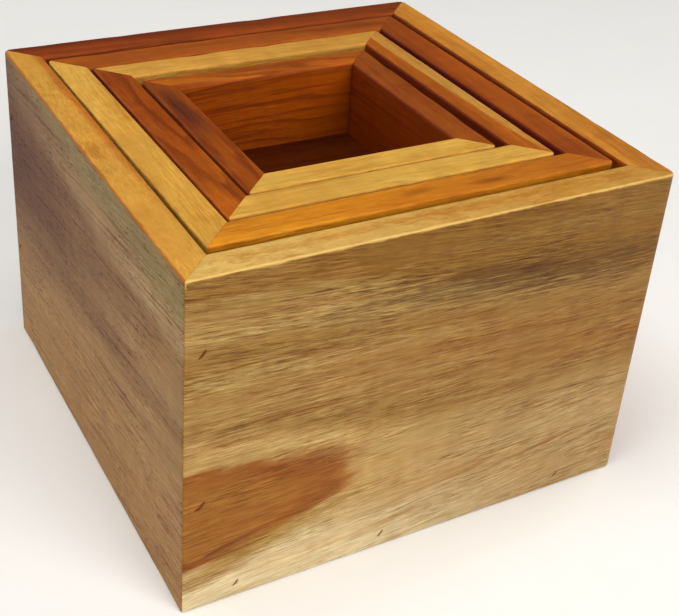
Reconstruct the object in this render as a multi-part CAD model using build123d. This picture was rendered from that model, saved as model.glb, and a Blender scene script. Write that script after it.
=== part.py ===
from build123d import *

import os
from dataclasses import dataclass

# A nest of four open wooden boxes, one inside the other, with their rims level.
# Each box is four mitred walls around a floor panel, pinned with steel brads.
# Each inner box stands on the floor of the box around it and lifts straight out.
#
# Frame: millimetres, +X along the front wall, +Y to the back, +Z up.
# The origin is the centre of the outer box's underside.

# Driving dimensions
rim_height = 99.5          # the level of all four rims above the table
floor_thickness = 8.5
outer_arris = 0.6          # easing of the rim's and the lower edges' outer arrises
inner_arris = 1.0          # and of those around the box's inside

# Brads are driven through a board's edge and set below its face
brad_length = 18.0
brad_shank = 1.2
brad_head = 1.6
brad_head_length = 0.8
brad_point_length = 1.5
brad_set_depth = 0.9
mitre_brad_heights = (0.34, 0.795)             # as parts of the wall's height
floor_brad_places = (-0.909, -0.193, 0.793)    # as parts of half the inside width


@dataclass
class NestBox:
    """One open box, in its own frame: centred, with its lower edges at Z = 0."""

    name: str
    width: float           # outside, along X
    depth: float           # outside, along Y
    wall: float            # thickness of its wall boards
    corner_radius: float   # rounding of its upright corners
    crisp_radius: float    # but of the front left one, which is less worn
    floor_set_up: float    # from its lower edges up to its floor's underside
    shift: tuple           # where it lies in the gap around it, along X and Y
    turn: float            # and how far it is turned there, in degrees

    @property
    def inside(self):
        return self.width - 2 * self.wall, self.depth - 2 * self.wall

    @property
    def floor_top(self):
        return self.floor_set_up + floor_thickness


nest = [
    NestBox("outer", 140.0, 140.0, 9.5, 2.4, 0.8, 0.0, (0.0, 0.0), 0.0),
    NestBox("second", 118.2, 116.2, 9.4, 1.2, 1.0, 14.0, (-0.7, 0.1), 0.25),
    NestBox("third", 96.4, 95.8, 9.2, 1.2, 1.0, 14.0, (-1.6, 0.0), 0.1),
    NestBox("smallest", 73.8, 73.0, 8.5, 1.2, 1.0, 14.0, (-2.9, -1.8), 0.0),
]

# The sides of a box, and the turn that brings a wall facing the front to each
sides = {"front": 0, "right": 90, "back": 180, "left": 270}
floor_brad_sides = ("front", "back")

base_centred = (Align.CENTER, Align.CENTER, Align.MIN)


def side_size(box, side):
    """A side's outside length, and how far its face stands from the box's axis."""
    if side in ("front", "back"):
        return box.width, box.depth / 2
    return box.depth, box.width / 2


def wall_space(box, side, height):
    """The room that one wall takes up between its two mitres."""
    length, reach = side_size(box, side)
    outer = length / 2 + box.wall
    inner = length / 2 - box.wall
    outline = Polyline(
        (-outer, -reach - box.wall),
        (outer, -reach - box.wall),
        (inner, -reach + box.wall),
        (-inner, -reach + box.wall),
        close=True,
    )
    return Rot(0, 0, sides[side]) * extrude(make_face(outline), height)


def ease_inside(box, side, wall):
    """Round the wall's upper and lower edges on the side that faces the hollow."""
    _, reach = side_size(box, side)
    outward = Vector(0, -1, 0).rotate(Axis.Z, sides[side])
    inner_face = reach - box.wall
    edges = [
        edge for edge in wall.edges().filter_by(Plane.XY)
        if abs(edge.center().dot(outward) - inner_face) < 0.01
    ]
    return fillet(edges, inner_arris)


def brad():
    """One brad, its head at the origin and its point along +Y."""
    profile = Polyline(
        (0, 0),
        (brad_head / 2, 0),
        (brad_head / 2, brad_head_length),
        (brad_shank / 2, brad_head_length),
        (brad_shank / 2, brad_length - brad_point_length),
        (0, brad_length),
        close=True,
    )
    return revolve(make_face(profile), Axis.Y)


def punched_hole():
    """The hole that a brad leaves above its head, up to the wall's face."""
    return Rot(90, 0, 0) * Cylinder(brad_head / 2, 2 * brad_set_depth, align=base_centred)


def brad_places(box, side, height):
    """Where the brads of one wall have their heads, for the brads to point inwards."""
    length, reach = side_size(box, side)
    head = -reach + brad_set_depth
    mitre = -(length - box.wall) / 2
    spots = [(mitre, head, part * height) for part in mitre_brad_heights]
    if side in floor_brad_sides:
        half_inside = length / 2 - box.wall
        middle = box.floor_set_up + floor_thickness / 2
        spots += [(part * half_inside, head, middle) for part in floor_brad_places]
    return [Rot(0, 0, sides[side]) * Pos(*spot) for spot in spots]


def upright_edges(block):
    """A block's upright edges, the front left one first."""
    return block.edges().filter_by(Axis.Z).sort_by(Axis((0, 0, 0), (1, 1, 0)))


def rounded_block(box, height):
    """The box's outside as one solid, its corners rounded and its arrises eased."""
    block = Box(box.width, box.depth, height, align=base_centred)
    block = fillet(upright_edges(block)[1:], box.corner_radius)
    block = fillet(upright_edges(block)[0], box.crisp_radius)
    ends = block.faces().filter_by(Plane.XY)
    return fillet(ends.edges(), outer_arris)


def box_pieces(box, height):
    """Every piece of one box by its node's name, in the box's own frame."""
    places = [place for side in sides for place in brad_places(box, side, height)]
    brads = [place * brad() for place in places]
    holes = [place * punched_hole() for place in places]
    ring = rounded_block(box, height) - Box(*box.inside, height, align=base_centred)
    pieces = {}
    for side in sides:
        wall = (ring & wall_space(box, side, height)).solid()
        wall = ease_inside(box, side, wall)
        pieces[f"{box.name}_{side}_wall"] = wall - brads - holes
    panel = Box(*box.inside, floor_thickness, align=base_centred)
    pieces[f"{box.name}_floor"] = Pos(0, 0, box.floor_set_up) * panel - brads
    pieces[f"{box.name}_brads"] = Compound(brads)
    return pieces


os.makedirs("parts", exist_ok=True)
seat = 0.0
for box in nest:
    place = Pos(*box.shift, seat) * Rot(0, 0, box.turn)
    for name, piece in box_pieces(box, rim_height - seat).items():
        export_step(place * piece, f"parts/{name}.step")
    print(f"{box.name} box stands at {seat:.1f}, its floor's top is at {seat + box.floor_top:.1f}")
    seat += box.floor_top
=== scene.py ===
"""The looks of a nest of four square wooden boxes: boards, floors, brads, light and camera."""

import math

import bmesh
import bpy
import numpy as np
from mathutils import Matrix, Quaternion, Vector


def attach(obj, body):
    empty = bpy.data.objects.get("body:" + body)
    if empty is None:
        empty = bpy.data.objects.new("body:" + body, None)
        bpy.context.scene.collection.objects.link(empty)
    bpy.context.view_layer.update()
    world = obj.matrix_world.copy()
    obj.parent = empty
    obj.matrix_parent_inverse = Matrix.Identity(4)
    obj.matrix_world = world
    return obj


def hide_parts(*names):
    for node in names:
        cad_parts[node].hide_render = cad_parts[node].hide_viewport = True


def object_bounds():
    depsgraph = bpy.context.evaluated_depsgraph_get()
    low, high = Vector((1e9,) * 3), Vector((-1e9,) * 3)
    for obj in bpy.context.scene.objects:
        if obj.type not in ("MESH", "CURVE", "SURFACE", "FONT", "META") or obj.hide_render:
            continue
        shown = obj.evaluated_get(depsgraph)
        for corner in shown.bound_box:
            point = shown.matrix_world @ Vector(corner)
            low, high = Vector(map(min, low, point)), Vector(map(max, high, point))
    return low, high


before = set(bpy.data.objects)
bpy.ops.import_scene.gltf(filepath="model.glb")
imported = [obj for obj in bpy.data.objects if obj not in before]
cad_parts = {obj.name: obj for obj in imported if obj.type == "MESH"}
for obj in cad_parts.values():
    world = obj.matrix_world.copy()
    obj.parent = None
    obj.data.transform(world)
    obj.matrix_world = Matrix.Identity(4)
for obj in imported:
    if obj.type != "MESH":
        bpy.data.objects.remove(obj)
cad_low, cad_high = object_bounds()

MM = 0.001                      # the frame is in metres, boards are worked out in millimetres

# ------------------------------------------------------------------ sizes, in millimetres
CORNER_RADIUS = {"outer": 2.4, "second": 1.2, "third": 1.2, "smallest": 1.2}
CRISP_RADIUS = {"outer": 0.8, "second": 1.0, "third": 1.0, "smallest": 1.0}
CRISP_END = {"front": -1, "left": 1}    # the end of a wall that meets the front left corner
OUTER_ARRIS = 0.6
INNER_ARRIS = 1.0
PANEL_ARRIS = 0.3
EDGE_REACH = 5.0                # how far from an arris its wear, grime, coloured bands and painted highlights may show
SIDES = {"front": 0, "right": 90, "back": 180, "left": 270}     # each side's turn about Z
ROUND_STEPS = 4                 # spans in half of a rounded edge
STATION_STEP = 2.5              # between stations on a plain stretch of board
THROUGH_STEP = 1.0              # and through its thickness
END_STEP = 0.2                  # and between its ends and the stations next to them
ROUND_STEP = 0.25               # and from a rounded edge to the first plain station
MARK_STEP = 0.2                 # and across a filled brad hole
LEAST_STEP = 0.04               # stations nearer than this to the one before are left out
MARK_REACH = 2.4                # how far from a filled hole's middle its fine stations go
MARK_DEPTH = 0.5
MARK_HALF_WIDTH = 0.5
MARK_HALF_LENGTH = 1.8
MARK_TILT = math.radians(50)
LOW_MARK = 25.0                 # marks below this height are smaller
SMALL_MARK = 0.75               # and by this much
GROOVE = 0.04                   # how far the faces ease in at a mitre
WAVE = 0.04                     # unevenness of a sanded face
WALL_WAVE = 34.0                # length of its waves on a wall
PANEL_WAVE = 30.0               # and on a floor panel
WALL_CALM = 8.0                 # a wall's face is not uneven at a mitre, but is from here on
PANEL_CALM = 6.0                # and a panel's from this far inside its edges
RIPPLES = 7                     # waves that make up any unevenness
WEAR_DEPTH = 0.35               # of the worst knocks along an outer arris
WEAR_WAVE = 13.0                # length of those knocks
WEAR_REACH = 1.8                # how far from the arris they go
WEAR_FADE = 1.6                 # and over how much of that they fade
JOINT_REACH = 10.0              # how far from a mitre its dark line may show
RIM_REACH = 2.0                 # how far below its rim a wall may have the rim's colours
GAP_SHADE_REACH = 12.0                # how far below the rim the painted shade between boxes may show
SURFACE = 0.01                  # points nearer than this to a flat face lie on it
HEAD_DEPTH = 1.0                # brads' heads lie less than this behind a face
HEAD_REACH = 2.0                # and each head's points less than this apart
SMOOTH_ANGLE = math.radians(40)         # edges sharper than this stay sharp
TINY = 1e-9                     # keeps divisors above zero


# ------------------------------------------------------------------ where each box is
def node_points(name):
    """A CAD node's vertices at rest, in millimetres."""
    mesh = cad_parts[name].data
    points = np.empty(len(mesh.vertices) * 3, np.float32)
    mesh.vertices.foreach_get("co", points)
    return points.reshape(-1, 3).astype(float) / MM


def turned(points, angle):
    """Points turned about Z."""
    c, s = math.cos(angle), math.sin(angle)
    out = np.array(points, float)
    out[:, 0] = points[:, 0] * c - points[:, 1] * s
    out[:, 1] = points[:, 0] * s + points[:, 1] * c
    return out


class BoxPlace:
    """One box's place and sizes, read from its CAD nodes."""

    def __init__(self, name):
        self.name = name
        panel = node_points(f"{name}_floor")
        corner = {
            (i, j): panel[np.argmax(i * panel[:, 0] + j * panel[:, 1])]
            for i in (-1, 1) for j in (-1, 1)
        }
        along = corner[1, -1] - corner[-1, -1]
        self.turn = math.atan2(along[1], along[0])
        self.centre = sum(corner.values()) / 4
        self.centre[2] = 0.0
        walls = np.concatenate([self.own(f"{name}_{side}_wall") for side in SIDES])
        self.bottom, self.top = walls[:, 2].min(), walls[:, 2].max()
        self.width, self.depth = 2 * walls[:, 0].max(), 2 * walls[:, 1].max()
        floor = self.own(f"{name}_floor")
        self.floor_low, self.floor_high = floor.min(0), floor.max(0)
        self.wall = self.width / 2 - self.floor_high[0]
        self.height = self.top - self.bottom

    def own(self, node):
        """A node's points in the box's own frame."""
        return turned(node_points(node) - self.centre, -self.turn)

    def side_size(self, side):
        """A side's outside length, and how far its face stands from the box's axis."""
        if side in ("front", "back"):
            return self.width, self.depth / 2
        return self.depth, self.width / 2

    def to_frame(self, points, side):
        """From a board's along, depth and height to the shared frame, in metres."""
        _, reach = self.side_size(side)
        out = np.array(points, float)
        out[:, 1] -= reach
        out = turned(out, math.radians(SIDES[side]) + self.turn) + self.centre
        out[:, 2] += self.bottom
        return out * MM

    def brad_heads(self, side):
        """Where the brads' heads lie behind one side's face: along and height."""
        _, reach = self.side_size(side)
        points = turned(self.own(f"{self.name}_brads"), -math.radians(SIDES[side]))
        heads = points[points[:, 1] + reach < HEAD_DEPTH]
        found = []
        while len(heads):
            near = np.linalg.norm(heads - heads[0], axis=1) < HEAD_REACH
            middle = heads[near].mean(0)
            found.append((middle[0], middle[2] - self.bottom))
            heads = heads[~near]
        return found


# ------------------------------------------------------------------ board meshes
def ripple(rng, wave, *coordinates):
    """Smooth unevenness from -1 to 1, from a few waves of about that length."""
    total = 0.0
    for _ in range(RIPPLES):
        length = wave * rng.uniform(0.6, 1.8)
        direction = rng.normal(size=len(coordinates))
        direction /= np.linalg.norm(direction)
        phase = rng.uniform(0, 2 * math.pi)
        reach = sum(d * c for d, c in zip(direction, coordinates))
        total = total + np.sin(2 * math.pi * reach / length + phase)
    return total / RIPPLES


def stations(length, low_radius, high_radius, step, marks=()):
    """Positions from 0 to length, close together at rounded ends and across marks."""
    share = 1 - np.tan(np.radians(np.linspace(45, 0, ROUND_STEPS + 1)))
    low, high = low_radius * share, length - high_radius * share
    start, end = low_radius + ROUND_STEP, length - high_radius - ROUND_STEP
    plain = np.linspace(start, end, max(2, round((end - start) / step) + 1))
    fine = [np.arange(mark - MARK_REACH, mark + MARK_REACH, MARK_STEP) for mark in marks]
    if fine:
        fine = np.concatenate(fine)
        fine = fine[(fine > start) & (fine < end)]
        clear = np.min(np.abs(plain[:, None] - fine[None, :]), axis=1) > MARK_STEP
        plain = np.concatenate([plain[clear], fine])
    every = np.unique(np.round(np.concatenate([low, high, plain]), 3))
    gaps = np.diff(every, prepend=-1.0)
    keep = gaps > LEAST_STEP
    keep[-1] = True
    return every[keep]


def rounded(distances, radius):
    """Bring points towards a rounded edge: distances are those from the planes that meet."""
    core = np.maximum(distances, radius)
    back = core - distances
    deepest = back.max(axis=1, keepdims=True)
    size = np.maximum(np.linalg.norm(back, axis=1, keepdims=True), TINY)
    return core - deepest * back / size


def smooth_step(value, low, high):
    """From 0 at low to 1 at high, with no kink at either."""
    share = np.clip((value - low) / (high - low), 0, 1)
    return share * share * (3 - 2 * share)


def mark_shape(along, height, marks, rng):
    """How deep in a filled brad hole each point is, from 0 to 1: a slanting slot."""
    depth = np.zeros_like(along)
    for mark_along, mark_height in marks:
        tilt = MARK_TILT + rng.uniform(-0.2, 0.2)
        size = rng.uniform(0.75, 1.0) * (1.0 if mark_height > LOW_MARK else SMALL_MARK)
        a, h = along - mark_along, height - mark_height
        across = a * math.sin(tilt) - h * math.cos(tilt)
        lengthways = a * math.cos(tilt) + h * math.sin(tilt)
        across = across + 0.09 * lengthways ** 2          # a slight crescent
        reach = np.hypot(across / MARK_HALF_WIDTH, lengthways / MARK_HALF_LENGTH) / size
        depth = np.maximum(depth, 1 - smooth_step(reach, 0.65, 1.25))
    return depth


def wall_section(place, marks):
    """Depths and heights round a wall's section: face, rim, inside and underside."""
    thick, tall = place.wall, place.height
    face_up = stations(tall, OUTER_ARRIS, OUTER_ARRIS, STATION_STEP, [m[1] for m in marks])
    inside_up = stations(tall, INNER_ARRIS, INNER_ARRIS, 2 * STATION_STEP)
    through = stations(thick, OUTER_ARRIS, INNER_ARRIS, THROUGH_STEP)
    depth = np.concatenate([
        np.zeros(len(face_up) - 1), through[:-1],
        np.full(len(inside_up) - 1, thick), through[:0:-1],
    ])
    height = np.concatenate([
        face_up[:-1], np.full(len(through) - 1, tall),
        inside_up[:0:-1], np.zeros(len(through) - 1),
    ])
    on_face = np.arange(len(depth)) < len(face_up)
    return depth, height, on_face


def eased_wall(place, half, share, depth, height, corner):
    """Each point's along, depth and way in from the edges, once these are rounded."""
    thick = place.wall
    up = np.minimum(height, place.height - height)
    end_gap = half - np.abs(share * (half - depth))

    # First the arrises along the board
    near_inside = depth > thick / 2
    eased_in = rounded(np.stack([thick - depth, up], 1), INNER_ARRIS)
    eased_out = rounded(np.stack([depth, up], 1), OUTER_ARRIS)
    depth_now = np.where(near_inside, thick - eased_in[:, 0], eased_out[:, 0])
    up_now = np.where(near_inside, eased_in[:, 1], eased_out[:, 1])

    # Then the upright corner at each mitre
    left = np.maximum(corner - depth, TINY)
    pulled = corner - (corner - end_gap) * (corner - depth_now) / left
    near_corner = (depth < corner) & (end_gap < corner)
    end_gap = np.where(near_corner, pulled, half - np.abs(share) * (half - depth_now))
    end_gap, depth_now = rounded(np.stack([end_gap, depth_now], 1), corner[:, None]).T
    return np.sign(share) * (half - end_gap), depth_now, up_now


def tube_faces(rows, columns):
    """The faces of a closed tube of that many rows, with a face across each end."""
    ring = np.arange(columns)
    faces = []
    for row in range(rows - 1):
        a = row * columns + ring
        b = row * columns + np.roll(ring, -1)
        faces += np.stack([a, b, b + columns, a + columns], 1).tolist()
    faces.append(ring[::-1].tolist())
    faces.append((ring + (rows - 1) * columns).tolist())
    return faces


def wall_mesh(name, place, side, seed):
    """One mitred wall: rounded and eased edges, a sanded face, and filled brad holes."""
    rng = np.random.default_rng(seed)
    length, _ = place.side_size(side)
    half, thick, tall = length / 2, place.wall, place.height
    radius = {
        end: (CRISP_RADIUS if CRISP_END.get(side) == end else CORNER_RADIUS)[place.name]
        for end in (-1, 1)
    }
    marks = place.brad_heads(side)

    # A grid of points: round the section, and along the board from one mitre to the other
    depth, height, on_face = wall_section(place, marks)
    lengthways = stations(length, radius[-1], radius[1], STATION_STEP,
                          [m[0] + half for m in marks])
    lengthways = np.concatenate([lengthways, [END_STEP, length - END_STEP]])
    lengthways = np.unique(lengthways) / half - 1.0
    rows, columns = len(lengthways), len(depth)
    share = np.repeat(lengthways, columns)
    depth, height, on_face = (np.tile(each, rows) for each in (depth, height, on_face))
    along = share * (half - depth)
    corner = np.where(share < 0, radius[-1], radius[1])
    along_now, depth_now, up_now = eased_wall(place, half, share, depth, height, corner)

    # Unevenness of a hand-sanded board, none of it at the mitres
    up = np.minimum(height, tall - height)
    end_gap = half - np.abs(along)
    mitre_gap = end_gap - depth
    at_mitre = np.abs(share) > 1 - 1e-6
    outer_skin = depth < SURFACE
    inner_skin = depth > thick - SURFACE
    calm = smooth_step(mitre_gap, 0.0, WALL_CALM)
    sag = WAVE * (1 + ripple(rng, WALL_WAVE, along, height)) * calm
    mark = np.where(on_face, mark_shape(along, height, marks, rng), 0.0)
    dents = np.maximum(0, ripple(rng, WEAR_WAVE, along, 3 * height)) ** 2
    near_arris = smooth_step(WEAR_REACH - np.maximum(depth, up), 0, WEAR_FADE)
    worn = np.where(depth > thick / 2, 0.0, WEAR_DEPTH * dents * near_arris * calm)
    groove = np.where(at_mitre, GROOVE, 0.0)
    depth_now = depth_now + np.where(outer_skin, sag + MARK_DEPTH * mark + groove, 0) + worn
    depth_now = depth_now - np.where(inner_skin, sag + groove, 0)
    up_now = up_now + np.where(up < SURFACE, groove + 0.5 * sag, 0) + worn
    along_now = np.where(at_mitre, np.sign(share) * (half - depth_now), along_now)
    height_now = np.where(height > tall / 2, tall - up_now, up_now)

    # What the wood's shader has to know about each point
    arris = np.minimum.reduce([
        np.maximum(depth, up), np.maximum(depth, end_gap), np.maximum(thick - depth, up),
    ])
    # painted shade: the inner faces of the right walls of the larger boxes darken below the rim,
    # where little light reaches between boxes
    stained = side == "right" and place.name != "smallest"
    facts = {
        "edge": np.clip(1 - arris / EDGE_REACH, 0, 1),
        "joint": np.clip(mitre_gap / JOINT_REACH, 0, 1),
        "mark": mark,
        "rim": np.clip(1 - (tall - height) / RIM_REACH, 0, 1),
        "outside": np.clip(1.5 - depth / 4.0, 0, 1),      # falls from 1 to 0 at 2 to 6 mm in
        "inside": inner_skin.astype(float),
        "gap_shade": np.clip(1 - (tall - height) / GAP_SHADE_REACH, 0, 1) * (stained & inner_skin),
    }
    points = np.stack([along_now, depth_now, height_now], 1)
    board = np.stack([along, depth, height], 1)
    faces = tube_faces(rows, columns)
    return mesh_object(name, place.to_frame(points, side), faces, facts, board)


def panel_mesh(name, place, seed):
    """A box's floor panel: a flat board with its edges just eased."""
    rng = np.random.default_rng(seed)
    low, high = place.floor_low, place.floor_high
    size = high - low
    steps = [stations(s, PANEL_ARRIS, PANEL_ARRIS, 2 * STATION_STEP) for s in size]
    points, faces, index = [], [], {}

    def corner(point):
        key = tuple(np.round(point, 4))
        if key not in index:
            index[key] = len(points)
            points.append(point)
        return index[key]

    for axis in range(3):
        one, two = [k for k in range(3) if k != axis]
        for end in (0.0, size[axis]):
            for a0, a1 in zip(steps[one][:-1], steps[one][1:]):
                for b0, b1 in zip(steps[two][:-1], steps[two][1:]):
                    quad = []
                    for a, b in ((a0, b0), (a1, b0), (a1, b1), (a0, b1)):
                        point = np.zeros(3)
                        point[axis], point[one], point[two] = end, a, b
                        quad.append(corner(point))
                    faces.append(quad)
    points = np.array(points)
    near = np.minimum(points, size - points)
    arris = np.sort(near, axis=1)[:, 1]
    shaped = rounded(near, PANEL_ARRIS)
    sag = WAVE * (1 + ripple(rng, PANEL_WAVE, points[:, 0], points[:, 1]))
    calm = smooth_step(arris, 0, PANEL_CALM)
    shaped[:, 2] += np.where(near[:, 2] < SURFACE, sag * calm, 0)
    shaped = np.where(points > size / 2, size - shaped, shaped)
    board = np.stack([points[:, 0] - size[0] / 2, points[:, 2], points[:, 1]], 1)
    plain = np.zeros(len(points))
    facts = {
        "edge": np.clip(1 - arris / EDGE_REACH, 0, 1),
        "joint": plain + 1.0, "mark": plain, "rim": plain, "outside": plain, "inside": plain,
        "gap_shade": plain,
    }
    placed = (turned(shaped + low, place.turn) + place.centre) * MM
    return mesh_object(name, placed, faces, facts, board)


def mesh_object(name, points, faces, facts, board):
    """A mesh object with one number per point for each fact, and its place on the board."""
    mesh = bpy.data.meshes.new(name)
    mesh.from_pydata(points.tolist(), [], faces)
    work = bmesh.new()
    work.from_mesh(mesh)
    bmesh.ops.recalc_face_normals(work, faces=work.faces)
    work.to_mesh(mesh)
    work.free()
    mesh.shade_smooth()
    mesh.set_sharp_from_angle(angle=SMOOTH_ANGLE)
    for fact, values in facts.items():
        layer = mesh.attributes.new(fact, "FLOAT", "POINT")
        layer.data.foreach_set("value", values.astype(np.float32))
    layer = mesh.attributes.new("board", "FLOAT_VECTOR", "POINT")
    layer.data.foreach_set("vector", board.astype(np.float32).ravel())
    piece = bpy.data.objects.new(name, mesh)
    bpy.context.scene.collection.objects.link(piece)
    return piece


# ------------------------------------------------------------------ shader graphs
def linear(colour):
    """A 0 to 255 display colour as linear light."""
    parts = [c / 255 for c in colour]
    return tuple(c / 12.92 if c <= 0.04045 else ((c + 0.055) / 1.055) ** 2.4 for c in parts)


class Graph:
    """A material's node graph, built by calls that each return a socket."""

    def __init__(self, name):
        self.material = bpy.data.materials.new(name)
        self.material.use_nodes = True
        self.tree = self.material.node_tree
        self.tree.nodes.clear()

    def node(self, kind, **settings):
        made = self.tree.nodes.new(kind)
        for key, value in settings.items():
            setattr(made, key, value)
        return made

    def put(self, socket, value):
        if isinstance(value, bpy.types.NodeSocket):
            self.tree.links.new(value, socket)
        elif value is not None:
            socket.default_value = value

    def attribute(self, name, output="Fac"):
        return self.node("ShaderNodeAttribute", attribute_name=name).outputs[output]

    def math(self, operation, a, b=None, c=None):
        made = self.node("ShaderNodeMath", operation=operation)
        for socket, value in zip(made.inputs, (a, b, c)):
            self.put(socket, value)
        return made.outputs[0]

    def vector(self, operation, a, b=None):
        made = self.node("ShaderNodeVectorMath", operation=operation)
        self.put(made.inputs[0], a)
        self.put(made.inputs[1], b)
        return made.outputs["Value" if operation == "LENGTH" else "Vector"]

    def combine(self, x, y, z):
        made = self.node("ShaderNodeCombineXYZ")
        for socket, value in zip(made.inputs, (x, y, z)):
            self.put(socket, value)
        return made.outputs[0]

    def separate(self, vector):
        made = self.node("ShaderNodeSeparateXYZ")
        self.put(made.inputs[0], vector)
        return made.outputs

    def step(self, value, low, high, to_low=0.0, to_high=1.0):
        made = self.node("ShaderNodeMapRange", interpolation_type="SMOOTHSTEP")
        for key, item in (("Value", value), ("From Min", low), ("From Max", high),
                          ("To Min", to_low), ("To Max", to_high)):
            self.put(made.inputs[key], item)
        return made.outputs[0]

    def noise(self, vector, scale=(1, 1, 1), shift=0.0, detail=2.0, roughness=0.5, colour=False):
        """Noise from 0 to 1, stretched by a scale per axis."""
        mapping = self.node("ShaderNodeMapping")
        self.put(mapping.inputs["Vector"], vector)
        self.put(mapping.inputs["Scale"], scale)
        self.put(mapping.inputs["Location"], (shift, 1.7 * shift, 2.3 * shift))
        made = self.node("ShaderNodeTexNoise")
        self.put(made.inputs["Vector"], mapping.outputs[0])
        self.put(made.inputs["Scale"], 1.0)
        self.put(made.inputs["Detail"], detail)
        self.put(made.inputs["Roughness"], roughness)
        return made.outputs["Color" if colour else "Fac"]

    def mix(self, share, a, b, blend="MIX"):
        made = self.node("ShaderNodeMix", data_type="RGBA", blend_type=blend)
        self.put(made.inputs["Factor"], share)
        for socket, value in ((made.inputs["A"], a), (made.inputs["B"], b)):
            self.put(socket, (*value, 1.0) if isinstance(value, tuple) else value)
        return made.outputs["Result"]

    def bump(self, height, distance, normal=None):
        made = self.node("ShaderNodeBump")
        self.put(made.inputs["Height"], height)
        self.put(made.inputs["Distance"], distance)
        self.put(made.inputs["Strength"], 1.0)
        self.put(made.inputs["Normal"], normal)
        return made.outputs[0]

    def finish(self, **inputs):
        """The material, with its shader's inputs given by their names in small letters."""
        shader = self.node("ShaderNodeBsdfPrincipled")
        for key, value in inputs.items():
            name = key.replace("_", " ").title().replace("Ior", "IOR")
            self.put(shader.inputs[name], value)
        output = self.node("ShaderNodeOutputMaterial")
        self.tree.links.new(shader.outputs[0], output.inputs[0])
        return self.material


# Tints that multiply a wood's colour, in linear light
COOL_TINT = (0.90, 1.02, 1.06)
WARM_TINT = (1.04, 0.94, 0.80)
PORE_SHADE = (0.34, 0.20, 0.11)
# arrises made lighter: partly rubbed wear, partly a painted highlight
RUBBED_AND_HIGHLIT = (1.30, 1.20, 1.0)
GRIME = (0.66, 0.45, 0.30)
# painted shade for the inner faces of the right walls below the rim
GAP_SHADE = (0.42, 0.16, 0.06)
JOINT_LINE = (0.42, 0.26, 0.15)

# Display colours that cover it
TORN_FIBRE = (236, 206, 160)
FILLER = (118, 62, 24)

GRAIN_DEPTH = 0.10 * MM         # of the relief that fibres and pores leave


class Wood:
    """How one board looks. Colours are 0 to 255 display colours, places are millimetres."""

    def __init__(self, light, mid, dark, rim=None, inside=None, arris=None,
                 pith=(-60.0, 30.0), lean=(0.05, 0.0), start=0.0, arching=1.0, narrowing=0.0,
                 band=9.0, bend=2.5, lines=0.6, rings=0.0, ring_step=4.0, fibres=0.8,
                 pores=0.3, torn=0.0, gloss=0.13, zones=()):
        self.light, self.mid, self.dark = light, mid, dark
        self.rim = rim          # its sanded rim, where that differs from its face
        self.inside = inside    # its face towards the hollow, where that differs; on the smallest box darker, as painted shade of the hollow
        self.arris = arris      # a band of colour along its upper outer arris: colour, width and strength; on the front board a painted highlight
        self.pith = pith        # the pith's height and its distance out from the face at start
        self.lean = lean        # how fast it goes further out and higher along the board
        self.start = start      # the place along the board where pith is measured
        self.arching = arching  # how far its lines follow the rings, not the fibres
        self.narrowing = narrowing      # how its fibres draw together, per millimetre
        self.band = band        # width of its colour bands
        self.bend = bend        # how much slow unevenness bends its lines
        self.rings = rings      # how strong its dark growth rings are
        self.ring_step = ring_step
        self.lines, self.fibres = lines, fibres     # how strong each of these shows
        self.pores, self.torn = pores, torn
        self.gloss = gloss      # the shader's specular level
        self.zones = zones


class Zone:
    """A part of a board with its own colour, or with painted light or shade: a soft-edged
    ellipsoid, ragged by its noise.
    """

    def __init__(self, colour, place, radii, tilt=0.0, soft=0.3, strength=1.0, ragged=1.0,
                 streaky=0.0, border=None, rim=False):
        self.colour, self.place, self.radii = colour, place, radii
        self.tilt, self.soft, self.strength = tilt, soft, strength
        self.ragged, self.streaky = ragged, streaky
        self.border = border    # a darker line just inside its edge
        self.rim = rim          # lies on the sanded rim only


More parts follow.
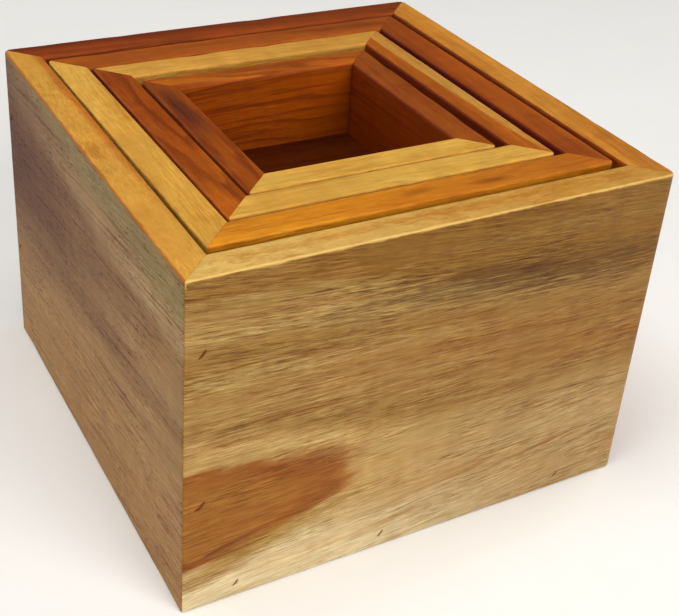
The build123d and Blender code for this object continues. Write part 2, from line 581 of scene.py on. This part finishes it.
class Grain:
    """Where a board's points lie in the tree, and the noises that draw its wood."""

    def __init__(self, g, wood, shift):
        self.place = g.attribute("board", "Vector")
        slow = g.noise(self.place, (1 / 75, 1 / 26, 1 / 26), shift, 2.0, colour=True)
        slow = g.vector("SUBTRACT", slow, (0.5, 0.5, 0.5))
        slow = g.vector("MULTIPLY", slow, (6.0 * wood.bend, wood.bend, wood.bend))
        self.bent = g.vector("ADD", self.place, slow)
        along, depth, height = g.separate(self.bent)

        # Distance from the pith line, which lies in front of the face and leans away from it
        beyond = g.math("SUBTRACT", along, wood.start)
        pith_out = g.math("MULTIPLY_ADD", beyond, wood.lean[0], wood.pith[1])
        pith_height = g.math("MULTIPLY_ADD", beyond, wood.lean[1], wood.pith[0])
        behind = g.math("POWER", g.math("ADD", depth, pith_out), 2.0)
        above = g.math("SUBTRACT", height, pith_height)
        ring = g.math("SQRT", g.math("ADD", behind, g.math("POWER", above, 2.0)))

        # Fibres run straight along the board, and draw together where it narrows in the tree
        spread = g.math("MULTIPLY_ADD", beyond, wood.narrowing, 1.0)
        across = g.math("MULTIPLY", above, spread)
        fibre = g.combine(along, across, depth)
        arched = g.math("MULTIPLY", ring, g.math("SIGN", above))
        arched = g.math("MULTIPLY", arched, wood.arching)
        self.across = g.math("MULTIPLY_ADD", across, 1.0 - wood.arching, arched)
        grain = g.combine(along, self.across, depth)

        # Bands and lines follow the rings, the finer marks follow the fibres
        self.bands = g.noise(grain, (1 / 160, 1 / wood.band, 1 / 40), shift, 3.0, 0.55)
        self.tints = g.noise(fibre, (1 / 45, 1 / 3.2, 1 / 9), shift + 2, 3.0, 0.6)
        self.lines = g.noise(grain, (1 / 60, 1 / 1.5, 1 / 7), shift + 3, 4.0, 0.62)
        self.coarse = g.noise(fibre, (1 / 12, 1 / 0.8, 1 / 1.2), shift + 5, 3.0, 0.6)
        self.fine = g.noise(fibre, (1 / 6, 1 / 0.36, 1 / 0.45), shift + 6, 4.0, 0.7)
        self.flecks = g.noise(fibre, (1 / 2.6, 1 / 0.36, 1 / 0.42), shift + 7, 2.0, 0.5)
        self.patches = g.noise(self.place, (1 / 28, 1 / 8, 1 / 8), shift + 9, 2.0)
        self.feather = g.noise(self.place, (1 / 5, 1 / 18, 1 / 18), shift + 11, 2.0)
        self.rub_and_sheen = g.noise(self.place, (1 / 7, 1 / 2.5, 1 / 2.5), shift + 13, 3.0, 0.65)
        self.ragged = g.noise(self.bent, (1 / 14, 1 / 4, 1 / 4), shift + 15, 3.0, 0.6)
        self.breaks = g.math("MULTIPLY_ADD", g.math("ADD", self.coarse, self.fine), 0.5, -0.5)
        self.rim = g.step(g.attribute("rim"), 0.78, 0.96, 0.0, 0.9)


def shaded(g, colour, value, strength, weights):
    """The colour lightened and darkened by a value about zero, more in some channels."""
    levels = [g.math("MULTIPLY_ADD", value, strength * w, 1.0) for w in weights]
    return g.mix(1.0, colour, g.combine(*levels), "MULTIPLY")


def zoned(g, colour, zone, grain, where=None):
    """The colour with one zone laid over it."""
    mapping = g.node("ShaderNodeMapping", vector_type="TEXTURE")
    g.put(mapping.inputs["Vector"], grain.bent)
    g.put(mapping.inputs["Location"], zone.place)
    g.put(mapping.inputs["Rotation"], (0.0, -math.radians(zone.tilt), 0.0))
    g.put(mapping.inputs["Scale"], zone.radii)
    reach = g.vector("LENGTH", mapping.outputs[0])
    ragged = g.math("SUBTRACT", grain.ragged, 0.5)
    reach = g.math("MULTIPLY_ADD", ragged, 0.35 * zone.ragged, reach)
    if zone.streaky:
        reach = g.math("MULTIPLY_ADD", grain.breaks, zone.streaky, reach)
    inside = g.step(reach, 1 + zone.soft, 1 - zone.soft)
    inside = g.math("MULTIPLY", inside, zone.strength)
    if where:
        inside = g.math("MULTIPLY", inside, where)
    colour = g.mix(inside, colour, linear(zone.colour))
    if zone.border:
        rise = g.step(reach, 1 - 0.30, 1 - 0.06)
        fall = g.step(reach, 1 + 0.03, 1 - 0.02)
        edge = g.math("MULTIPLY", g.math("MULTIPLY", rise, fall), 0.6)
        colour = g.mix(edge, colour, linear(zone.border), "MULTIPLY")
    return colour


def board_colour(g, wood, grain):
    """The board's own colours: soft bands, zones, its face towards the hollow and its sanded
    rim; some zones and the smallest box's inner faces hold painted light or shade.
    """
    colour = g.mix(g.step(grain.bands, 0.36, 0.66), linear(wood.light), linear(wood.mid))
    for zone in wood.zones:
        if not zone.rim:
            colour = zoned(g, colour, zone, grain)
    # the face towards the hollow gets its own colour, which on the smallest box is painted shade
    if wood.inside:
        colour = g.mix(g.attribute("inside"), colour, linear(wood.inside))
    if wood.rim:
        colour = g.mix(grain.rim, colour, linear(wood.rim))
    for zone in wood.zones:
        if zone.rim:
            colour = zoned(g, colour, zone, grain, grain.rim)
    return colour


def growth_rings(g, wood, grain, colour):
    """Dark rings that come on slowly and end at once."""
    turns = g.math("DIVIDE", grain.across, wood.ring_step)
    turns = g.math("MULTIPLY_ADD", grain.bands, 5.0, turns)
    saw = g.math("FRACT", g.math("MULTIPLY_ADD", grain.tints, 0.5, turns))
    ringed = g.math("MULTIPLY", g.step(saw, 0.45, 0.88), g.step(saw, 1.0, 0.88))
    ringed = g.math("MULTIPLY", ringed, g.step(grain.patches, 0.25, 0.6, 0.25, wood.rings))
    return g.mix(ringed, colour, linear(wood.dark), "MULTIPLY")


def edge_stains_and_painted_light(g, wood, grain, colour):
    """Arrises rubbed lighter or banded in colour, partly painted highlights, and stained by
    grime; painted shade below the rim on the right walls' inner faces; a dark line at mitres.
    """
    edge = g.attribute("edge")
    if wood.arris:
        # a band of colour along the upper outer arris; on the front board it is a painted
        # highlight
        tint, width, strength = wood.arris
        band = g.math("MULTIPLY_ADD", g.math("SUBTRACT", grain.rub_and_sheen, 0.5), 0.35, edge)
        start = 1 - width / EDGE_REACH
        band = g.math("MULTIPLY", g.step(band, start - 0.06, start + 0.08),
                      g.step(g.attribute("rim"), 0.1, 0.5))
        band = g.math("MULTIPLY", band, g.step(g.attribute("outside"), 0.5, 0.9))
        colour = g.mix(g.math("MULTIPLY", band, strength), colour, linear(tint))
    else:
        # arrises made lighter, partly rubbed wear and partly a painted highlight
        worn = g.math("MULTIPLY", g.step(edge, 0.78, 0.95), g.step(grain.rub_and_sheen, 0.40, 0.62))
        colour = g.mix(g.math("MULTIPLY", worn, 0.5), colour, RUBBED_AND_HIGHLIT, "MULTIPLY")
    grime = g.math("MULTIPLY", g.step(edge, 0.86, 1.0), g.step(grain.rub_and_sheen, 0.46, 0.30))
    colour = g.mix(g.math("MULTIPLY", grime, 0.25), colour, GRIME, "MULTIPLY")
    # painted shade on the right walls' inner faces below the rim, where little light reaches
    # between boxes
    gap_shade = g.step(g.attribute("gap_shade"), 0.35, 0.95, 0.0, 0.9)
    colour = g.mix(gap_shade, colour, GAP_SHADE, "MULTIPLY")
    joint = g.step(g.attribute("joint"), 0.030, 0.004, 0.0, 0.25)
    return g.mix(joint, colour, JOINT_LINE, "MULTIPLY")


def wood_material(name, wood, seed):
    """Oiled hardwood: growth rings about a pith, latewood lines, fibres, pores and wear, with
    painted highlights on arrises and painted shade between boxes.
    """
    g = Graph(name)
    grain = Grain(g, wood, 17.3 * seed)
    colour = board_colour(g, wood, grain)
    colour = g.mix(g.step(grain.tints, 0.3, 0.5, 0.35, 0.0), colour, COOL_TINT, "MULTIPLY")
    colour = g.mix(g.step(grain.tints, 0.5, 0.7, 0.0, 0.6), colour, WARM_TINT, "MULTIPLY")
    if wood.rings:
        colour = growth_rings(g, wood, grain, colour)

    # Latewood lines and fibres, stronger in some patches and calmer on the sanded rim
    sanded = g.math("MULTIPLY_ADD", grain.rim, min(1.0, 0.4 / wood.fibres) - 1.0, 1.0)
    rough_grain = g.math("MULTIPLY", g.step(grain.patches, 0.32, 0.62, 0.4, 1.0), sanded)
    late = g.math("MULTIPLY", g.step(grain.lines, 0.50, 0.70), rough_grain)
    colour = g.mix(g.math("MULTIPLY", late, wood.lines), colour, linear(wood.dark), "MULTIPLY")
    streaks = g.math("MULTIPLY_ADD", g.math("SUBTRACT", grain.coarse, 0.5), 0.5, grain.fine)
    streaks = g.math("MULTIPLY", g.math("SUBTRACT", streaks, 0.5), rough_grain)
    colour = shaded(g, colour, streaks, 3.0 * wood.fibres, (0.7, 1.0, 1.4))
    colour = shaded(g, colour, g.math("SUBTRACT", grain.feather, 0.5), 0.35, (1.0, 1.0, 1.0))

    # Open pores, and pale flecks where the plane tore the fibres
    pore = g.math("MULTIPLY", g.step(grain.flecks, 0.60, 0.70),
                  g.step(grain.patches, 0.36, 0.60, 0.25, 1.0))
    pore = g.math("MULTIPLY", pore,
                  g.math("MULTIPLY_ADD", grain.rim, -0.8 * wood.pores, wood.pores))
    colour = g.mix(pore, colour, PORE_SHADE, "MULTIPLY")
    if wood.torn:
        torn = g.math("MULTIPLY", g.step(grain.fine, 0.66, 0.76),
                      g.step(grain.patches, 0.45, 0.62))
        colour = g.mix(g.math("MULTIPLY", torn, wood.torn), colour, linear(TORN_FIBRE))

    colour = edge_stains_and_painted_light(g, wood, grain, colour)
    mark = g.step(g.attribute("mark"), 0.15, 0.75)
    colour = g.mix(g.math("MULTIPLY", mark, 0.85), colour, linear(FILLER))

    roughness = g.math("MULTIPLY_ADD", grain.coarse, 0.22, 0.36)
    roughness = g.math("MULTIPLY_ADD", pore, 0.25, roughness)
    roughness = g.math("MULTIPLY_ADD", mark, 0.2, roughness)
    low = g.math("MULTIPLY_ADD", pore, -0.8, g.math("MULTIPLY", streaks, 2.0 * wood.fibres))
    low = g.math("MULTIPLY_ADD", late, -0.2, low)
    normal = g.bump(low, GRAIN_DEPTH)
    return g.finish(base_color=colour, roughness=roughness, normal=normal,
                    specular_ior_level=wood.gloss)


def steel_material():
    """Drawn steel wire, dulled and a little stained."""
    g = Graph("brad_steel")
    place = g.node("ShaderNodeTexCoord").outputs["Object"]
    stain = g.noise(place, (400, 400, 400), 2.0, 3.0)
    scratch = g.noise(place, (2500, 2500, 300), 5.0, 2.0)
    colour = g.mix(g.step(stain, 0.45, 0.7), linear((150, 148, 144)), linear((104, 86, 70)))
    roughness = g.math("MULTIPLY_ADD", scratch, 0.3, 0.3)
    return g.finish(base_color=colour, metallic=1.0, roughness=roughness,
                    normal=g.bump(scratch, 0.01 * MM))


# ------------------------------------------------------------------ the woods of each board
HEART = Zone((152, 97, 34), (-84.0, 0.0, 28.5), (59.0, 40.0, 16.0), tilt=2.0, soft=0.12,
             ragged=1.0, border=(226, 182, 120))
HEART_TIP = Zone((140, 78, 22), (-34.0, 0.0, 38.0), (14.0, 30.0, 4.0), tilt=-6.0, soft=0.6,
                 strength=0.8, ragged=1.6)
HEART_FOOT = Zone((158, 118, 46), (-54.0, 0.0, 13.5), (24.0, 30.0, 3.4), tilt=17.0, soft=0.8,
                  strength=0.85, ragged=1.6)
HEART_LINE = Zone((108, 62, 22), (-58.0, 0.0, 18.5), (10.0, 30.0, 0.8), tilt=14.0, soft=0.6,
                  strength=0.6, ragged=1.5)
SAP = Zone((200, 162, 100), (-84.0, 0.0, 27.0), (80.0, 60.0, 23.0), soft=0.35, strength=0.6,
           ragged=1.0, streaky=0.4)
SAP_STREAK = Zone((198, 162, 102), (-44.0, 0.0, 46.5), (36.0, 30.0, 3.4), tilt=-14.0, soft=0.8,
                  strength=0.65, ragged=1.5, streaky=0.8)
FOOT = Zone((224, 204, 160), (-60.0, 0.0, 0.0), (72.0, 60.0, 15.0), soft=0.6, strength=0.85,
            streaky=0.3)
TOP_STRIP = Zone((142, 98, 38), (-30.0, 0.0, 99.0), (80.0, 30.0, 7.5), soft=0.25, strength=0.75,
                 ragged=0.8, streaky=0.8)
GOLDEN = Zone((128, 86, 25), (66.0, 0.0, 108.0), (124.0, 40.0, 34.0), tilt=-3.0, soft=0.08,
              strength=0.8, ragged=0.7, streaky=0.5)
SPECKLED = Zone((90, 58, 20), (30.0, 0.0, 79.0), (46.0, 30.0, 5.0), tilt=-3.0, soft=0.8,
                strength=0.75, ragged=1.6, streaky=5.0)
RUSSET_STREAK = Zone((146, 84, 26), (10.0, 0.0, 58.0), (70.0, 30.0, 9.0), tilt=-7.0, soft=0.6,
                     strength=0.3, ragged=2.0, streaky=6.0)
BROWN_RIGHT = Zone((138, 96, 42), (66.0, 0.0, 58.0), (60.0, 30.0, 26.0), soft=0.6, strength=0.6)
PALE_RIGHT = Zone((174, 142, 94), (50.0, 0.0, 10.0), (92.0, 40.0, 26.0), soft=0.6,
                  strength=0.85)
RIM_RIGHT = Zone((176, 122, 40), (76.0, 4.0, 99.5), (80.0, 30.0, 9.0), soft=0.7, strength=0.85,
                 rim=True)
RIM_STREAK = Zone((176, 112, 32), (16.0, 5.6, 99.5), (64.0, 1.6, 9.0), soft=0.8, strength=0.7,
                  ragged=1.5, streaky=3.0, rim=True)
BACK_SHADE = Zone((84, 38, 8), (-84.0, 0.0, 70.0), (78.0, 40.0, 26.0), soft=0.8, strength=0.95)
ASH_STRIP = Zone((134, 114, 70), (64.0, 0.0, 98.0), (170.0, 40.0, 11.5), tilt=-4.0, soft=0.25,
                 strength=0.85, ragged=0.7, streaky=0.5)
BRIGHT_STRIP = Zone((166, 138, 98), (50.0, 0.0, 83.0), (80.0, 40.0, 4.5), tilt=-4.0, soft=0.9,
                    strength=0.6, ragged=1.2, streaky=1.2)
# painted light: the left board lighter towards its bottom, as if lit by the pale floor
LEFT_FOOT_PAINTED_LIGHT = Zone((164, 122, 70), (30.0, 0.0, 0.0), (130.0, 40.0, 36.0), soft=0.7, strength=0.7)
RUST_EDGE = Zone((172, 88, 24), (-40.0, 9.5, 99.5), (76.0, 2.6, 9.0), soft=0.4, strength=0.8,
                 rim=True)
PALE_WEDGE = Zone((186, 130, 54), (50.0, 0.0, 68.0), (98.0, 5.4, 30.0), soft=0.06, ragged=0.4)
KNOT_ONE = Zone((128, 62, 14), (1.0, 5.0, 91.0), (3.5, 1.2, 9.0), soft=0.7, strength=0.6,
                ragged=3.0, rim=True)
KNOT_TWO = Zone((120, 54, 12), (21.0, 3.4, 91.0), (5.0, 1.0, 9.0), soft=0.7, strength=0.65,
                ragged=3.5, rim=True)
SECOND_RIGHT_END = Zone((164, 86, 16), (60.0, 5.0, 91.0), (60.0, 12.0, 9.0), soft=0.7,
                        strength=0.8, rim=True)
PURPLE = Zone((78, 34, 24), (-13.0, 3.6, 46.0), (13.0, 2.6, 20.0), soft=0.7, strength=0.8,
              ragged=1.6)

SLANTING = (-40.0, 120.0)       # a pith far out, so that the rings slant across the rim

WOODS = {
    "outer_front": Wood((166, 132, 74), (148, 110, 52), (204, 146, 76), pith=(28.0, 0.0),
                        lean=(0.263, 0.04), start=-84.0, arching=0.3, narrowing=0.0025,
                        band=7.0, lines=0.6, fibres=1.15, torn=0.8,
                        zones=(BROWN_RIGHT, PALE_RIGHT, TOP_STRIP, GOLDEN, SPECKLED,
                               RUSSET_STREAK, SAP, SAP_STREAK, FOOT, HEART, HEART_TIP,
                               HEART_FOOT, HEART_LINE, RIM_RIGHT, RIM_STREAK),
                        # its rim colour, and a pale band along its upper arris that is a painted
                        # highlight
                        rim=(211, 172, 93), arris=((240, 202, 118), 0.5, 0.5)),
    "outer_left": Wood((152, 116, 74), (134, 98, 60), (178, 120, 76), pith=(50.0, 20.0),
                       lean=(0.2, 0.1), start=-90.0, arching=0.0, band=6.0, lines=0.8,
                       fibres=0.9, pores=0.9, gloss=0.08,
                       zones=(BACK_SHADE, LEFT_FOOT_PAINTED_LIGHT, ASH_STRIP, BRIGHT_STRIP, RUST_EDGE),
                       rim=(206, 148, 58), arris=((150, 74, 22), 0.6, 0.75)),
    "outer_right": Wood((198, 132, 46), (172, 106, 31), (180, 110, 56), lines=0.7,
                        pith=SLANTING),
    "outer_back": Wood((146, 64, 12), (108, 42, 4), (150, 90, 50), lines=0.9, pith=SLANTING),
    "second_front": Wood((206, 134, 28), (188, 113, 20), (190, 120, 60), pith=SLANTING,
                         zones=(SECOND_RIGHT_END, KNOT_ONE, KNOT_TWO)),
    "second_right": Wood((160, 79, 12), (132, 57, 4), (160, 100, 60), pith=SLANTING),
    "second_back": Wood((156, 78, 16), (126, 55, 7), (160, 100, 60), pith=SLANTING),
    "second_left": Wood((212, 162, 70), (196, 142, 54), (200, 150, 90), lines=0.5,
                        pith=SLANTING),
    "third_front": Wood((204, 156, 68), (184, 132, 49), (190, 146, 86), pith=SLANTING),
    "third_right": Wood((174, 92, 15), (148, 72, 8), (160, 100, 60), pith=SLANTING,
                        zones=(PALE_WEDGE,)),
    "third_back": Wood((198, 146, 62), (180, 124, 45), (200, 150, 90), lines=0.5,
                       pith=SLANTING),
    "third_left": Wood((170, 88, 18), (144, 66, 8), (150, 90, 50), lines=0.8, bend=5.0,
                       rings=0.5, ring_step=2.6, gloss=0.10),
    "smallest_front": Wood((208, 160, 70), (188, 138, 51), (190, 146, 86), pith=SLANTING),
    # the darker inside colours of the smallest box's walls are painted shade of its hollow
    "smallest_right": Wood((146, 72, 12), (126, 56, 6), (160, 100, 60), lines=0.5,
                           fibres=0.5, inside=(124, 48, 2)),
    "smallest_back": Wood((178, 95, 16), (158, 79, 8), (150, 90, 40), lines=0.5, bend=7.0,
                          rings=0.55, ring_step=5.5, fibres=0.5, inside=(158, 72, 2)),
    "smallest_left": Wood((158, 80, 16), (136, 62, 8), (150, 90, 50), lines=0.8,
                          fibres=0.5, gloss=0.10, zones=(PURPLE,), inside=(124, 48, 2)),
    "outer_floor": Wood((160, 106, 48), (138, 86, 34), (170, 110, 70)),
    "second_floor": Wood((150, 92, 40), (128, 72, 26), (170, 110, 70)),
    "third_floor": Wood((154, 98, 42), (132, 78, 30), (170, 110, 70)),
    # the smallest box's floor is coloured nearly black-red: painted shade of its hollow
    "smallest_floor": Wood((80, 30, 4), (66, 22, 3), (150, 100, 70), gloss=0.05),
}


def make_boards():
    """Every wall and floor as its own piece, standing for its CAD node."""
    seed = 0
    for box in CORNER_RADIUS:
        place = BoxPlace(box)
        body = f"{box}_box"
        for part in (*SIDES, "floor"):
            seed += 1
            node = f"{box}_floor" if part == "floor" else f"{box}_{part}_wall"
            name = f"{box}_{part}_board"
            if part == "floor":
                piece = panel_mesh(name, place, seed)
            else:
                piece = wall_mesh(name, place, part, seed)
            wood = WOODS[f"{box}_{part}"]
            piece.data.materials.append(wood_material(f"{box}_{part}_wood", wood, seed))
            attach(piece, body)
            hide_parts(node)


def finish_brads():
    """The brads keep their CAD shape and get a dulled steel."""
    steel = steel_material()
    for box in CORNER_RADIUS:
        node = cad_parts[f"{box}_brads"]
        node.data.materials.clear()
        node.data.materials.append(steel)


# ------------------------------------------------------------------ studio
FLOOR_RADIUS = 0.95
FLOOR_SIDES = 96
FLOOR_GAP = 0.0001              # between the floor and the box's lower edges
SURROUND_LIGHT = ((1.0, 0.96, 0.90), 0.15)      # what lights the box: colour and strength
SURROUND_SEEN = ((1.0, 1.0, 0.99), 0.85)        # what shows behind the floor
LIGHTS = {                      # place, size, power and colour
    "key": ((0.30, -0.95, 0.62), 0.7, 8.0, (1.0, 0.98, 0.95)),
    "top": ((-0.25, -0.10, 1.0), 0.6, 4.8, (1.0, 0.99, 0.97)),
    "left_fill": ((-1.0, -0.20, 0.40), 0.8, 3.2, (1.0, 0.95, 0.88)),
    "right_fill": ((1.0, 0.10, 0.60), 0.8, 3.0, (1.0, 0.99, 0.97)),
    "back_fill": ((-0.55, 0.95, 0.45), 0.8, 3.0, (1.0, 0.99, 0.97)),
}
CAMERA_PLACE = (-0.15718, -0.27741, 0.24268)
CAMERA_LOOK = (0.4411, 0.7472, -0.4971)
CAMERA_ROLL = math.radians(4.35)
CAMERA_LENS = 65.617
CAMERA_SENSOR = 36.0
CAMERA_SHIFT = (0.0134, -0.1135)


def add_area_light(name, place, target, size, power, colour):
    """A disc of soft light that faces its target."""
    lamp = bpy.data.lights.new(name, "AREA")
    lamp.shape = "DISK"
    lamp.size = size
    lamp.energy = power
    lamp.color = colour
    made = bpy.data.objects.new(name, lamp)
    made.location = place
    made.rotation_mode = "QUATERNION"
    made.rotation_quaternion = (Vector(target) - Vector(place)).to_track_quat("-Z", "Y")
    bpy.context.scene.collection.objects.link(made)


def make_floor():
    """A round sheet of pale paper."""
    mesh = bpy.data.meshes.new("studio_floor")
    angles = [2 * math.pi * k / FLOOR_SIDES for k in range(FLOOR_SIDES)]
    rim = [(FLOOR_RADIUS * math.cos(a), FLOOR_RADIUS * math.sin(a)) for a in angles]
    level = cad_low.z - FLOOR_GAP
    mesh.from_pydata([(x, y, level) for x, y in rim], [], [list(range(FLOOR_SIDES))])
    floor = bpy.data.objects.new("studio_floor", mesh)
    bpy.context.scene.collection.objects.link(floor)
    g = Graph("studio_paper")
    paper = g.noise(g.node("ShaderNodeTexCoord").outputs["Object"], (40, 40, 40), 1.0)
    white = g.mix(paper, linear((243, 243, 242)), linear((247, 247, 246)))
    mesh.materials.append(g.finish(base_color=white, roughness=0.9))


def make_surround():
    """A world that lights the box faintly and shows behind the floor as pale paper."""
    world = bpy.data.worlds.new("studio")
    world.use_nodes = True
    tree = world.node_tree
    tree.nodes.clear()
    surround = tree.nodes.new("ShaderNodeMixShader")
    seen = tree.nodes.new("ShaderNodeLightPath").outputs["Is Camera Ray"]
    tree.links.new(seen, surround.inputs[0])
    for socket, (colour, strength) in ((1, SURROUND_LIGHT), (2, SURROUND_SEEN)):
        sky = tree.nodes.new("ShaderNodeBackground")
        sky.inputs["Color"].default_value = (*colour, 1.0)
        sky.inputs["Strength"].default_value = strength
        tree.links.new(sky.outputs[0], surround.inputs[socket])
    output = tree.nodes.new("ShaderNodeOutputWorld")
    tree.links.new(surround.outputs[0], output.inputs["Surface"])
    bpy.context.scene.world = world


def make_lights():
    """Soft light from above and all round, with most of it from the front."""
    middle = (0.0, 0.0, cad_high.z / 2)
    for name, (spot, size, power, colour) in LIGHTS.items():
        add_area_light(name, spot, middle, size, power, colour)
    bpy.context.scene.view_settings.view_transform = "Standard"


def make_camera():
    """The camera, level but for its roll, where it sees the box's front and left sides."""
    lens = bpy.data.cameras.new("camera")
    lens.lens = CAMERA_LENS
    lens.sensor_width = CAMERA_SENSOR
    lens.shift_x, lens.shift_y = CAMERA_SHIFT
    lens.clip_start, lens.clip_end = 0.01, 50.0
    camera = bpy.data.objects.new("camera", lens)
    camera.location = CAMERA_PLACE
    camera.rotation_mode = "QUATERNION"
    level = Vector(CAMERA_LOOK).to_track_quat("-Z", "Y")
    camera.rotation_quaternion = level @ Quaternion((0.0, 0.0, 1.0), CAMERA_ROLL)
    bpy.context.scene.collection.objects.link(camera)
    bpy.context.scene.camera = camera


make_boards()
finish_brads()
make_floor()
make_surround()
make_lights()
make_camera()
